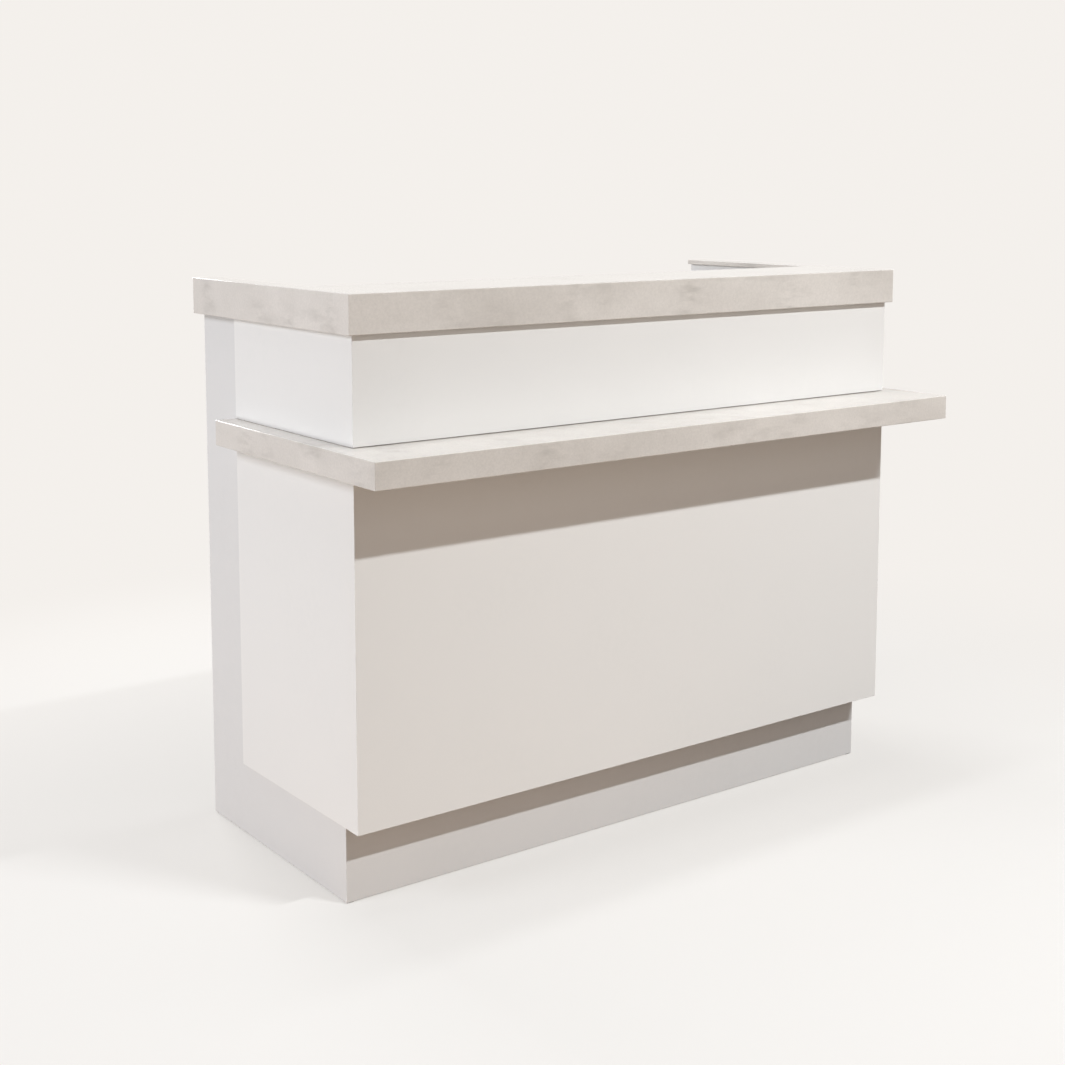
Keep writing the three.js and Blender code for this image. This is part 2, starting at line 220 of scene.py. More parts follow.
def finishPiece(piece, body, slot, materials, *replaced):
    piece.data.materials.clear()
    for material in materials:
        piece.data.materials.append(material)
    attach(piece, body)
    if replaced:
        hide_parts(*replaced)
    return piece


# shader nodes: sockets are set by name, attributes by keyword
def addNode(tree, kind, sockets=None, **attributes):
    node = tree.nodes.new(kind)
    for key, value in attributes.items():
        setattr(node, key, value)
    for key, value in (sockets or {}).items():
        node.inputs[key].default_value = value
    return node


# a number or colour is set on the socket, and another node's output is linked to it
def feed(tree, socket, value):
    if isinstance(value, bpy.types.NodeSocket):
        tree.links.new(value, socket)
    else:
        socket.default_value = value


def addRamp(tree, fac, low, high, lowColour=(0, 0, 0, 1), highColour=(1, 1, 1, 1)):
    ramp = addNode(tree, "ShaderNodeValToRGB")
    first, last = ramp.color_ramp.elements
    first.position = low
    first.color = lowColour
    last.position = high
    last.color = highColour
    tree.links.new(fac, ramp.inputs["Fac"])
    return ramp.outputs["Color"]


def addNoise(tree, vector, scale, detail=3, roughness=0.5, distortion=0):
    sockets = {"Detail": detail, "Roughness": roughness, "Distortion": distortion}
    noise = addNode(tree, "ShaderNodeTexNoise", sockets)
    tree.links.new(vector, noise.inputs["Vector"])
    feed(tree, noise.inputs["Scale"], scale)
    return noise.outputs["Fac"]


def addMapping(tree, vector, turn=(0, 0, 0), stretch=(1, 1, 1), shift=(0, 0, 0)):
    turned = [math.radians(angle) for angle in turn]
    sockets = {"Location": shift, "Rotation": turned, "Scale": stretch}
    mapping = addNode(tree, "ShaderNodeMapping", sockets)
    tree.links.new(vector, mapping.inputs["Vector"])
    return mapping.outputs["Vector"]


def addMath(tree, operation, first, second):
    node = addNode(tree, "ShaderNodeMath", operation=operation)
    feed(tree, node.inputs[0], first)
    feed(tree, node.inputs[1], second)
    return node.outputs["Value"]


def mixColours(tree, fac, first, second, blend="MIX"):
    node = addNode(tree, "ShaderNodeMix", data_type="RGBA", blend_type=blend)
    sockets = {socket.identifier: socket for socket in node.inputs}
    feed(tree, sockets["Factor_Float"], fac)
    feed(tree, sockets["A_Color"], first)
    feed(tree, sockets["B_Color"], second)
    return next(s for s in node.outputs if s.identifier == "Result_Color")


def spreadValue(tree, fac, low, high):
    node = addNode(tree, "ShaderNodeMapRange", {"To Min": low, "To Max": high})
    tree.links.new(fac, node.inputs["Value"])
    return node.outputs["Result"]


def startGroup(name, numbers, output):
    group = bpy.data.node_groups.new(name, "ShaderNodeTree")
    group.interface.new_socket("Vector", in_out="INPUT", socket_type="NodeSocketVector")
    for key, value in numbers.items():
        socket = group.interface.new_socket(key, in_out="INPUT", socket_type="NodeSocketFloat")
        socket.default_value = value
    group.interface.new_socket(output, in_out="OUTPUT", socket_type="NodeSocketFloat")
    given = addNode(group, "NodeGroupInput").outputs
    result = addNode(group, "NodeGroupOutput").inputs[output]
    return group, given, result


# the slight unevenness of a pressed, sprayed or moulded skin, as a height
def skinGroup():
    numbers = {"Fine": 300, "Broad": 12, "Broad Share": 0.5}
    group, given, result = startGroup("unevenSkin", numbers, "Height")
    fine = addNoise(group, given["Vector"], given["Fine"], 2)
    broad = addNoise(group, given["Vector"], given["Broad"], 1)
    broadPart = addMath(group, "MULTIPLY", broad, given["Broad Share"])
    finePart = addMath(group, "MULTIPLY", fine, addMath(group, "SUBTRACT", 1.0, given["Broad Share"]))
    group.links.new(addMath(group, "ADD", broadPart, finePart), result)
    return group


# where hands and cloths have been: soft patches broken up by fine wipes
def wipeGroup():
    group, given, result = startGroup("wipeMarks", {"Patch": 6, "Wipe": 60}, "Mask")
    patches = addNoise(group, given["Vector"], given["Patch"], 3, 0.55)
    wipes = addNoise(group, given["Vector"], given["Wipe"], 4, 0.6)
    soft = addRamp(group, patches, 0.42, 0.68)
    thin = addRamp(group, wipes, 0.35, 0.75)
    group.links.new(addMath(group, "MULTIPLY", soft, thin), result)
    return group


unevenSkin = skinGroup()
wipeMarks = wipeGroup()


def placeGroup(tree, group, vector, numbers):
    node = addNode(tree, "ShaderNodeGroup", node_tree=group)
    tree.links.new(vector, node.inputs["Vector"])
    for key, value in numbers.items():
        node.inputs[key].default_value = value
    return node.outputs[0]


def startMaterial(name, metallic=0):
    material = bpy.data.materials.new(name)
    material.use_nodes = True
    tree = material.node_tree
    shader = tree.nodes["Principled BSDF"]
    shader.inputs["Metallic"].default_value = metallic
    shader.inputs["IOR"].default_value = 1.5
    place = addNode(tree, "ShaderNodeTexCoord").outputs["Object"]
    return material, tree, shader, place


def addBump(tree, shader, height, depth):
    bump = addNode(tree, "ShaderNodeBump", {"Distance": depth, "Strength": 1.0})
    tree.links.new(height, bump.inputs["Height"])
    tree.links.new(bump.outputs["Normal"], shader.inputs["Normal"])


# a skin with wipe marks in its colour and an uneven height in its gloss and bump
def paintSkin(settings):
    material, tree, shader, place = startMaterial(settings["name"])
    marks = placeGroup(tree, wipeMarks, place, settings["marks"])
    colour = mixColours(tree, marks, settings["colour"], settings["wipedColour"])
    tree.links.new(colour, shader.inputs["Base Color"])
    height = placeGroup(tree, unevenSkin, place, settings["skin"])
    shine = marks if settings["glossFollowsMarks"] else height
    tree.links.new(spreadValue(tree, shine, *settings["roughness"]), shader.inputs["Roughness"])
    addBump(tree, shader, height, settings["depth"])
    return material


# sprayed gloss lacquer on board, polished flat, with a trace of orange peel
glossLacquer = {
    "name": "gloss_lacquer",
    "colour": (0.80, 0.785, 0.765, 1),
    "wipedColour": (0.785, 0.772, 0.752, 1),
    "marks": {"Patch": 5, "Wipe": 70},
    "skin": {"Fine": 220, "Broad": 9, "Broad Share": 0.75},
    "roughness": (0.06, 0.16),
    "glossFollowsMarks": True,
    "depth": 0.00012,
}
# satin white on the carcass boards that show, a little greyer than the cladding
satinLacquer = {
    "name": "satin_lacquer",
    "colour": (0.705, 0.693, 0.684, 1),
    "wipedColour": (0.685, 0.673, 0.664, 1),
    "marks": {"Patch": 5, "Wipe": 70},
    "skin": {"Fine": 320, "Broad": 11, "Broad Share": 0.7},
    "roughness": (0.13, 0.24),
    "glossFollowsMarks": True,
    "depth": 0.00012,
}
# white melamine: a pressed pearl texture, matt
pearlMelamine = {
    "name": "pearl_melamine",
    "colour": (0.79, 0.78, 0.76, 1),
    "wipedColour": (0.765, 0.755, 0.735, 1),
    "marks": {"Patch": 7, "Wipe": 90},
    "skin": {"Fine": 900, "Broad": 160, "Broad Share": 0.3},
    "roughness": (0.36, 0.5),
    "glossFollowsMarks": False,
    "depth": 0.00006,
}
# edge band: a plastic strip, a little greyer and smoother than the board's face
edgeBand = {
    "name": "edge_band",
    "colour": (0.74, 0.735, 0.72, 1),
    "wipedColour": (0.70, 0.695, 0.68, 1),
    "marks": {"Patch": 20, "Wipe": 200},
    "skin": {"Fine": 500, "Broad": 40, "Broad Share": 0.5},
    "roughness": (0.25, 0.38),
    "glossFollowsMarks": False,
    "depth": 0.00004,
}
# moulded plastics: a spark-textured skin
footPlastic = {
    "name": "black_plastic",
    "colour": (0.020, 0.020, 0.022, 1),
    "wipedColour": (0.034, 0.034, 0.036, 1),
    "marks": {"Patch": 25, "Wipe": 180},
    "skin": {"Fine": 1400, "Broad": 200, "Broad Share": 0.25},
    "roughness": (0.45, 0.65),
    "glossFollowsMarks": False,
    "depth": 0.00008,
}
grommetPlastic = {
    "name": "grey_plastic",
    "colour": (0.33, 0.34, 0.355, 1),
    "wipedColour": (0.295, 0.305, 0.32, 1),
    "marks": {"Patch": 25, "Wipe": 180},
    "skin": {"Fine": 1400, "Broad": 200, "Broad Share": 0.25},
    "roughness": (0.38, 0.55),
    "glossFollowsMarks": False,
    "depth": 0.00006,
}
capPlastic = {
    "name": "white_plastic",
    "colour": (0.72, 0.715, 0.70, 1),
    "wipedColour": (0.68, 0.675, 0.66, 1),
    "marks": {"Patch": 25, "Wipe": 180},
    "skin": {"Fine": 1200, "Broad": 150, "Broad Share": 0.4},
    "roughness": (0.3, 0.42),
    "glossFollowsMarks": False,
    "depth": 0.00003,
}

# stone-look sheet: warm off-white with broad clouds, and grainy smudges that come in clusters; the broad
# clouds also carry painted shade on the left ends of the fronts
stoneSheet = {
    "light": (0.70, 0.656, 0.611, 1),
    "cloud": (0.59, 0.549, 0.506, 1),
    "smudge": (0.27, 0.243, 0.217, 1),
    "cloudShadePlace": (0.7, 0.5, 0.0),  # where the broad clouds lie, shifted so that their darker part falls on the left ends of the counter and ledge fronts as painted shade
    "broadScale": 1.3,
    "cloudTurn": (20, -30, 35),  # degrees
    "cloudStretch": (6, 6, 11),
    "smudgeTurn": (-8, 9, -25),
    "smudgeStretch": (15, 15, 48),
    "clusterScale": 7.5,
    "smudgeStrength": 0.52,
    "grainScale": 240,
    "grainShare": (0.35, 1.5),  # how much of a smudge shows between the grains and on them
    "speckle": (0.93, 1.07),
    "roughness": (0.05, 0.12),
    "depth": 0.00002,
}


def polishedStone():
    s = stoneSheet
    material, tree, shader, place = startMaterial("polished_stone")
    # the broad clouds are the stone's own tone, shifted so that their darker part gives painted shade on the
    # left of the fronts
    broad = addNoise(tree, addMapping(tree, place, shift=s["cloudShadePlace"]), s["broadScale"], 1)
    drift = addMapping(tree, place, s["cloudTurn"], s["cloudStretch"])
    small = addNoise(tree, drift, 1, 5, 0.55, 0.4)
    clouds = addRamp(tree, addMath(tree, "MULTIPLY", addMath(tree, "ADD", broad, small), 0.5), 0.36, 0.64)
    grain = addNoise(tree, place, s["grainScale"], 3, 0.7)
    smoke = addMapping(tree, place, s["smudgeTurn"], s["smudgeStretch"])
    marks = addRamp(tree, addNoise(tree, smoke, 1, 5, 0.62, 0.2), 0.44, 0.74)
    clusters = addRamp(tree, addNoise(tree, place, s["clusterScale"], 2), 0.48, 0.66)
    grained = addMath(tree, "MULTIPLY", marks, spreadValue(tree, grain, *s["grainShare"]))
    shown = addMath(tree, "MULTIPLY", addMath(tree, "MULTIPLY", grained, clusters), s["smudgeStrength"])
    base = mixColours(tree, clouds, s["light"], s["cloud"])
    smudged = mixColours(tree, shown, base, s["smudge"])
    pale, bright = s["speckle"]
    speckle = addRamp(tree, grain, 0.25, 0.75, (pale, pale, pale, 1), (bright, bright, bright, 1))
    tree.links.new(mixColours(tree, 1.0, smudged, speckle, "MULTIPLY"), shader.inputs["Base Color"])
    tree.links.new(spreadValue(tree, grain, *s["roughness"]), shader.inputs["Roughness"])
    addBump(tree, shader, grain, s["depth"])
    return material


# bare particle board: pale and dark flakes
flakes = {
    "pale": (0.60, 0.44, 0.26, 1),
    "dark": (0.34, 0.22, 0.115, 1),
    "flakeScale": 260,
    "flatten": (1, 1, 2.4),
    "roughness": (0.75, 0.95),
    "depth": 0.0004,
}


def particleBoard():
    material, tree, shader, place = startMaterial("particle_board")
    cells = addNode(tree, "ShaderNodeTexVoronoi", {"Scale": flakes["flakeScale"]})
    tree.links.new(addMapping(tree, place, stretch=flakes["flatten"]), cells.inputs["Vector"])
    tone = addRamp(tree, cells.outputs["Color"], 0.1, 0.9)
    colour = mixColours(tree, tone, flakes["pale"], flakes["dark"])
    tree.links.new(colour, shader.inputs["Base Color"])
    tree.links.new(spreadValue(tree, tone, *flakes["roughness"]), shader.inputs["Roughness"])
    addBump(tree, shader, cells.outputs["Distance"], flakes["depth"])
    return material


# grey linen foil round the drawer sides: threads along the board and up it
foil = {
    "thread": (0.50, 0.515, 0.53, 1),
    "valley": (0.40, 0.415, 0.43, 1),
    "threadScale": 330,
    "wobble": 0.004,
    "roughness": (0.42, 0.6),
    "depth": 0.00012,
}


def linenFoil():
    material, tree, shader, place = startMaterial("linen_foil")
    split = addNode(tree, "ShaderNodeSeparateXYZ")
    tree.links.new(place, split.inputs["Vector"])
    around = addMath(tree, "ADD", split.outputs["X"], split.outputs["Y"])
    wobble = addMath(tree, "MULTIPLY", addNoise(tree, place, 120, 2), foil["wobble"])
    threads = []
    for way in (around, split.outputs["Z"]):
        turns = addMath(tree, "MULTIPLY", addMath(tree, "ADD", way, wobble), foil["threadScale"])
        threads.append(addMath(tree, "PINGPONG", turns, 0.5))
    weave = addMath(tree, "ADD", *threads)
    colour = mixColours(tree, weave, foil["valley"], foil["thread"])
    tree.links.new(colour, shader.inputs["Base Color"])
    tree.links.new(spreadValue(tree, weave, *foil["roughness"]), shader.inputs["Roughness"])
    addBump(tree, shader, weave, foil["depth"])
    return material


# metals: fine lines along the way they were drawn or brushed
zincPlate = {
    "name": "zinc_plate",
    "colour": (0.62, 0.635, 0.66, 1),
    "dull": (0.47, 0.485, 0.51, 1),
    "lines": (500, 6, 500),
    "roughness": (0.24, 0.42),
    "depth": 0.00003,
}
brushedSteel = {
    "name": "brushed_steel",
    "colour": (0.66, 0.655, 0.645, 1),
    "dull": (0.55, 0.545, 0.535, 1),
    "lines": (12, 700, 700),
    "roughness": (0.22, 0.36),
    "depth": 0.00002,
}


def linedMetal(settings):
    material, tree, shader, place = startMaterial(settings["name"], metallic=1)
    lines = addNoise(tree, addMapping(tree, place, stretch=settings["lines"]), 1, 4, 0.6)
    marks = placeGroup(tree, wipeMarks, place, {"Patch": 30, "Wipe": 220})
    tone = addMath(tree, "MAXIMUM", marks, lines)
    colour = mixColours(tree, tone, settings["colour"], settings["dull"])
    tree.links.new(colour, shader.inputs["Base Color"])
    tree.links.new(spreadValue(tree, tone, *settings["roughness"]), shader.inputs["Roughness"])
    addBump(tree, shader, lines, settings["depth"])
    return material


glossWhite = paintSkin(glossLacquer)
satinWhite = paintSkin(satinLacquer)
whiteMelamine = paintSkin(pearlMelamine)
bandedEdge = paintSkin(edgeBand)
footBlack = paintSkin(footPlastic)
grommetGrey = paintSkin(grommetPlastic)
capWhite = paintSkin(capPlastic)
stoneLook = polishedStone()
rawBoard = particleBoard()
greyFoil = linenFoil()
zincSteel = linedMetal(zincPlate)
satinSteel = linedMetal(brushedSteel)
print("finishes mixed")


# places that several pieces share
glueLine = 0.0003
gableInnerX, gableOuterX = (corner.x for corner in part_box("right_gable"))
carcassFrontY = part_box("modesty_panel")[0].y

# counter and ledge: a thin sheet with its edges folded down all round, bonded into one cap
capSettings = {
    "sheet": 0.010,  # thickness of the sheet and of its folded edges
    "nose": 0.008,  # how far the counter stands past what carries it, on the staff side
    "arris": 0.0016,
    "arrisSteps": 4,
}


def foldCap(prefix, armInner, innerY):
    low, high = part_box(f"{prefix}_top_sheet")
    drop = low.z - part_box(f"{prefix}_front_apron")[0].z
    thickness = capSettings["sheet"]
    cap = bendRound(f"{prefix}_cap", low, high, high.x - armInner, innerY - low.y)
    rimX = high.x - thickness
    rimFront = low.y + thickness
    rimBack = high.y - thickness
    endX = gableOuterX + glueLine
    cutAcross(cap, xAxis, (-rimX, rimX, -endX, endX))
    cutAcross(cap, yAxis, (rimFront, rimBack))

    def isRim(middle, normal):
        onEdge = abs(middle.x) > rimX or middle.y < rimFront
        onEnd = middle.y > rimBack and abs(middle.x) > endX
        return normal.z < -0.9 and (onEdge or onEnd)

    pullFaces(cap, isRim, (0, 0, -drop))
    easeArrises(cap, capSettings["arris"], capSettings["arrisSteps"])
    aprons = [f"{prefix}_{side}_apron" for side in ("front", "left", "right")]
    finishPiece(cap, "desk", "stone_look", [stoneLook], f"{prefix}_top_sheet", *aprons)


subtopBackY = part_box("counter_subtop")[1].y
foldCap("counter", gableInnerX - capSettings["nose"], subtopBackY + capSettings["nose"])
foldCap("ledge", gableOuterX + glueLine, carcassFrontY - glueLine)
print("counter and ledge folded")


# cladding: one skin folded round the front corners, above and below the ledge
claddingSettings = {"arris": 0.0006, "arrisSteps": 3}


# the side returns reach down to their own seat
def seatReturns(skin, behindY, frontBottom, sideBottom):
    def isFoot(middle, normal):
        return middle.y > behindY and middle.z < frontBottom + claddingSettings["arris"]

    pickFaces(skin, isFoot)
    bpy.ops.transform.translate(value=(0, 0, sideBottom - frontBottom))
    closePiece()


def foldCladding(level):
    frontLow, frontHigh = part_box(f"{level}_front_panel")
    sideLow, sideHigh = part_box(f"{level}_right_panel")
    high = (sideHigh.x, sideHigh.y, frontHigh.z)
    armWidth = sideHigh.x - sideLow.x
    skin = bendRound(f"{level}_cladding", frontLow, high, armWidth, frontHigh.y - frontLow.y)
    easeArrises(skin, claddingSettings["arris"], claddingSettings["arrisSteps"])
    seatReturns(skin, frontHigh.y, frontLow.z, sideLow.z)
    panels = [f"{level}_{side}_panel" for side in ("front", "left", "right")]
    finishPiece(skin, "desk", "gloss_white", [glossWhite], *panels)


foldCladding("upper")
foldCladding("lower")
print("cladding folded")


# gables and plinth: one lacquered shell folded round the front corners, with the gables carried up
shellSettings = {"arris": 0.0010, "arrisSteps": 3}


def foldShell():
    low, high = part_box("plinth_board")
    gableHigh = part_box("right_gable")[1]
    start = (-gableOuterX, low.y, low.z)
    end = (gableOuterX, gableHigh.y, high.z)
    shell = bendRound("carcass_shell", start, end, gableOuterX - gableInnerX, high.y - low.y)

    def isGableTop(middle, normal):
        return normal.z > 0.9 and abs(middle.x) > gableInnerX

    pullFaces(shell, isGableTop, (0, 0, gableHigh.z - high.z))
    easeArrises(shell, shellSettings["arris"], shellSettings["arrisSteps"])
    boards = ("left_gable", "right_gable", "plinth_board")
    finishPiece(shell, "desk", "gloss_white", [satinWhite], *boards)


foldShell()
print("gables and plinth folded")


# boards: eased edges, and a band on the narrow faces of the melamine ones
boardSettings = {
    "arris": 0.0008,
    "bandedArris": 0.0012,
    "lacquered": ("closing_rail",),
    "melamine": (
        "counter_subtop",
        "drawer_partition",
        "shelf_partition",
        "drawer_bay_floor",
        "shelf_bay_floor",
        "fixed_shelf",
    ),
    "raw": ("upper_rail", "ledge_bearer_rail"),
    "feet": ("left_gable_foot", "right_gable_foot", "drawer_partition_foot", "shelf_partition_foot"),
}


def bandEdges(board):
    size = board.dimensions
    thin = min((xAxis, yAxis, zAxis), key=lambda axis: size[axis])
    for face in board.data.polygons:
        face.material_index = 0 if abs(face.normal[thin]) > 0.7 else 1


# a board fills its node's box, or the corners that are given
def easedBoard(node, body, arris, slot, materials, corners=None):
    board = startBlock(f"{node}_board", *(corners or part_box(node)))
    easeArrises(board, arris, 2)
    return finishPiece(board, body, slot, materials, node)


def bandedBoard(node, body, corners=None):
    finish = [whiteMelamine, bandedEdge]
    board = easedBoard(node, body, boardSettings["bandedArris"], "white_melamine", finish, corners)
    bandEdges(board)


# the modesty panel stands between the gables
def makeModestyPanel():
    low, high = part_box("modesty_panel")
    endX = gableInnerX - glueLine
    bandedBoard("modesty_panel", "desk", ((-endX, low.y, low.z), (endX, high.y, high.z)))


def makeBoards():
    plain = {
        "lacquered": ("gloss_white", satinWhite),
        "raw": ("raw_board", rawBoard),
        "feet": ("black_plastic", footBlack),
    }
    for kind, (slot, material) in plain.items():
        for node in boardSettings[kind]:
            easedBoard(node, "desk", boardSettings["arris"], slot, [material])
    for node in boardSettings["melamine"]:
        bandedBoard(node, "desk")


def makeLedgeCore():
    low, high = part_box("ledge_core")
    armWidth = high.x - gableOuterX - glueLine
    core = bendRound("ledge_core_board", low, high, armWidth, carcassFrontY - glueLine - low.y)
    easeArrises(core, boardSettings["arris"], 2)
    finishPiece(core, "desk", "white_melamine", [whiteMelamine], "ledge_core")


makeBoards()
makeModestyPanel()
makeLedgeCore()
print("boards eased and banded")


# worktop with its cable hole, and the grommet in it
worktopSettings = {"holeRadius": 0.030, "arris": 0.0020, "holeSteps": 64}
grommetSettings = {
    "boreRadius": 0.0275,
    "flangeThickness": 0.0023,
    "seatRadius": 0.0312,
    "seatDepth": 0.0014,
    "rounding": 0.0006,
    "capThickness": 0.0015,
    "skirtRadius": 0.0270,
    "skirtWall": 0.0018,
    "notchFrom": 0.012,
    "notchHalf": 0.008,
    "notchRounding": 0.0015,
}
linerLow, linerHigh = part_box("grommet_liner")
grommetMiddle = (linerLow + linerHigh) / 2
grommetFoot = Vector((grommetMiddle.x, grommetMiddle.y, 0))


def makeWorktop():
    low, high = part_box("worktop")
    worktop = startBlock("worktop_board", low, high)
    bpy.ops.object.select_all(action="DESELECT")
    bpy.ops.mesh.primitive_cylinder_add(
        vertices=worktopSettings["holeSteps"],
        radius=worktopSettings["holeRadius"],
        depth=4 * (high.z - low.z),
        location=(grommetFoot.x, grommetFoot.y, high.z),
    )
    cutAway(worktop, bpy.context.object)
    easeArrises(worktop, worktopSettings["arris"], 3, 60)
    finishPiece(worktop, "desk", "white_melamine", [whiteMelamine, bandedEdge], "worktop")
    bandEdges(worktop)


def makeGrommetLiner():
    g = grommetSettings
    tubeRadius = worktopSettings["holeRadius"] - glueLine
    flangeRadius = (linerHigh.x - linerLow.x) / 2
    flangeBottom = linerHigh.z - g["flangeThickness"]
    seatTop = linerHigh.z - g["seatDepth"]
    profile = [
        (g["boreRadius"], linerLow.z),
        (tubeRadius, linerLow.z),
        (tubeRadius, flangeBottom),
        (flangeRadius, flangeBottom),
        (flangeRadius, linerHigh.z - g["rounding"]),
        (flangeRadius - g["rounding"], linerHigh.z),
        (g["seatRadius"], linerHigh.z),
        (g["seatRadius"], seatTop),
        (g["boreRadius"], seatTop),
        (g["boreRadius"], linerLow.z),
    ]
    liner = turnPiece("grommet_liner_ring", grommetFoot, profile)
    smoothRound(liner)
    finishPiece(liner, "desk", "grey_plastic", [grommetGrey], "grommet_liner")


def makeGrommetCap():
    g = grommetSettings
    low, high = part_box("grommet_cap")
    under = high.z - g["capThickness"]
    capRadius = (high.y - low.y) / 2
    profile = [
        (g["skirtRadius"] - g["skirtWall"], under),
        (g["skirtRadius"] - g["skirtWall"], low.z),
        (g["skirtRadius"], low.z),
        (g["skirtRadius"], under),
        (capRadius, under),
        (capRadius, high.z - g["rounding"]),
        (capRadius - g["rounding"], high.z),
    ]
    cap = turnPiece("grommet_cap_disc", grommetFoot, profile)
    notchLow = grommetFoot + Vector((g["notchFrom"], -g["notchHalf"], low.z - capRadius))
    notchHigh = grommetFoot + Vector((2 * capRadius, g["notchHalf"], high.z + capRadius))
    notch = startBlock("cable_notch", notchLow, notchHigh)
    easeArrises(notch, g["notchRounding"], 4)
    cutAway(cap, notch)
    smoothRound(cap)
    finishPiece(cap, "grommet_cap", "grey_plastic", [grommetGrey], "grommet_cap")


makeWorktop()
makeGrommetLiner()
makeGrommetCap()
print("worktop and grommet made")


# small fixings, modelled once: a pan-head screw with a cross recess, and a cover cap
screwSettings = {"radius": 0.0034, "height": 0.0018, "armLength": 0.0040, "armWidth": 0.0009, "recess": 0.0008}
coverCapSettings = {"radius": 0.0065, "height": 0.0011}
origin = Vector((0, 0, 0))


def modelScrew():
    s = screwSettings
    radius, height = s["radius"], s["height"]
    profile = [(radius, 0), (radius, 0.45 * height), (0.9 * radius, 0.8 * height), (0.6 * radius, height)]
    screw = turnPiece("screw_model", origin, profile, 24)
    half = Vector((s["armLength"] / 2, s["armWidth"] / 2, 0))
    for reach in (half, Vector((half.y, half.x, 0))):
        low = -reach + Vector((0, 0, height - s["recess"]))
        high = reach + Vector((0, 0, 2 * height))
        cutAway(screw, startBlock("recess", low, high))
    smoothRound(screw)
    return screw


def modelCoverCap():
    radius, height = coverCapSettings["radius"], coverCapSettings["height"]
    profile = [(radius, 0), (radius, 0.4 * height), (0.92 * radius, 0.8 * height), (0.75 * radius, height)]
    cap = turnPiece("cover_cap_model", origin, profile, 32)
    smoothRound(cap)
    return cap


screwModel = modelScrew()
coverCapModel = modelCoverCap()

# cover caps over the assembly screws, on the knee-space side of each partition
coverCapPlaces = {"alongDepth": (0.12, 0.5, 0.88)}


def setCoverCaps(partition, faceX, outward, shelves):
    low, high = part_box(partition)
    places = []
    for shelf in shelves:
        shelfLow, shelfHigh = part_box(shelf)
        for share in coverCapPlaces["alongDepth"]:
            depthY = low.y + share * (high.y - low.y)
            places.append((faceX, depthY, (shelfLow.z + shelfHigh.z) / 2))
    caps = setCopies(coverCapModel, f"{partition}_cover_caps", places, (outward, 0, 0))
    finishPiece(caps, "desk", "white_melamine", [capWhite])


setCoverCaps("drawer_partition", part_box("drawer_partition")[0].x, -1, ["drawer_bay_floor"])
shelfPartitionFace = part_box("shelf_partition")[1].x
setCoverCaps("shelf_partition", shelfPartitionFace, 1, ["shelf_bay_floor", "fixed_shelf"])
print("cover caps set")


# drawers: banded front, foil-wrapped sides and back, bow handle, steel rails and runners
drawerSettings = {
    "names": ("top", "middle", "file"),
    "wrapWall": 0.012,
    "wrapArris": 0.0012,
    "baseArris": 0.0004,
}
handleSettings = {"bar": 0.005, "bend": 0.012, "barSteps": 28, "bendSteps": 12, "footEase": 0.0005}
runnerSettings = {
    "metal": 0.0012,
    "lip": 0.0017,  # how far the edge of a flange is turned, past the flange itself
    "fold": 0.0004,
    "screwsAlong": (0.09, 0.5, 0.91),
}


def makeWrap(name):
    body = f"{name}_drawer"
    low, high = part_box(f"{name}_drawer_wrap")
    wall = drawerSettings["wrapWall"]
    wrap = bendRound(f"{name}_drawer_sides", low, high, wall, wall)
    easeArrises(wrap, drawerSettings["wrapArris"], 3)
    baseLow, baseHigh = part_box(f"{name}_drawer_base")
    clear = Vector((glueLine, glueLine, glueLine))
    openEnd = Vector((0, wall, 0))
    groove = startBlock("base_groove", baseLow - clear, baseHigh + clear + openEnd)
    cutAway(wrap, groove)
    finishPiece(wrap, body, "grey_wrap", [greyFoil], f"{name}_drawer_wrap")
    base = f"{name}_drawer_base"
    easedBoard(base, body, drawerSettings["baseArris"], "white_melamine", [whiteMelamine])


def makeHandle(name):
    h = handleSettings
    low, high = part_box(f"{name}_drawer_handle")
    bar, bend = h["bar"], h["bend"]
    left, right = low.x + bar, high.x - bar
    middleZ = (low.z + high.z) / 2
    straight = high.y - low.y - bar - bend
    bpy.ops.object.select_all(action="DESELECT")
    bpy.ops.mesh.primitive_circle_add(
        vertices=h["barSteps"],
        radius=bar,
        fill_type="NGON",
        location=(left, low.y, middleZ),
        rotation=(math.radians(90), 0, 0),
    )
    handle = settlePrimitive(f"{name}_drawer_bow_handle")
    openPiece(handle)
    bpy.ops.mesh.select_all(action="SELECT")
    quarter = math.radians(90)
    bendY = low.y + straight
    bpy.ops.mesh.extrude_region_move(TRANSFORM_OT_translate={"value": (0, straight, 0)})
    firstBend = (left + bend, bendY, middleZ)
    bpy.ops.mesh.spin(steps=h["bendSteps"], angle=quarter, center=firstBend, axis=(0, 0, -1))
    across = right - left - 2 * bend
    bpy.ops.mesh.extrude_region_move(TRANSFORM_OT_translate={"value": (across, 0, 0)})
    lastBend = (right - bend, bendY, middleZ)
    bpy.ops.mesh.spin(steps=h["bendSteps"], angle=quarter, center=lastBend, axis=(0, 0, -1))
    bpy.ops.mesh.extrude_region_move(TRANSFORM_OT_translate={"value": (0, -straight, 0)})
    bpy.ops.mesh.select_all(action="SELECT")
    bpy.ops.mesh.remove_doubles(threshold=0.000001)
    bpy.ops.mesh.fill_holes(sides=0)
    bpy.ops.mesh.select_all(action="SELECT")
    bpy.ops.mesh.normals_make_consistent(inside=False)
    closePiece()
    easeArrises(handle, h["footEase"], 2, 60)
    smoothRound(handle)
    finishPiece(handle, f"{name}_drawer", "satin_steel", [satinSteel], f"{name}_drawer_handle")
    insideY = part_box(f"{name}_drawer_front")[0].y
    places = [(x, insideY, middleZ) for x in (left, right)]
    screws = setCopies(screwModel, f"{name}_drawer_handle_screws", places, (0, -1, 0))
    finishPiece(screws, f"{name}_drawer", "zinc_steel", [zincSteel])


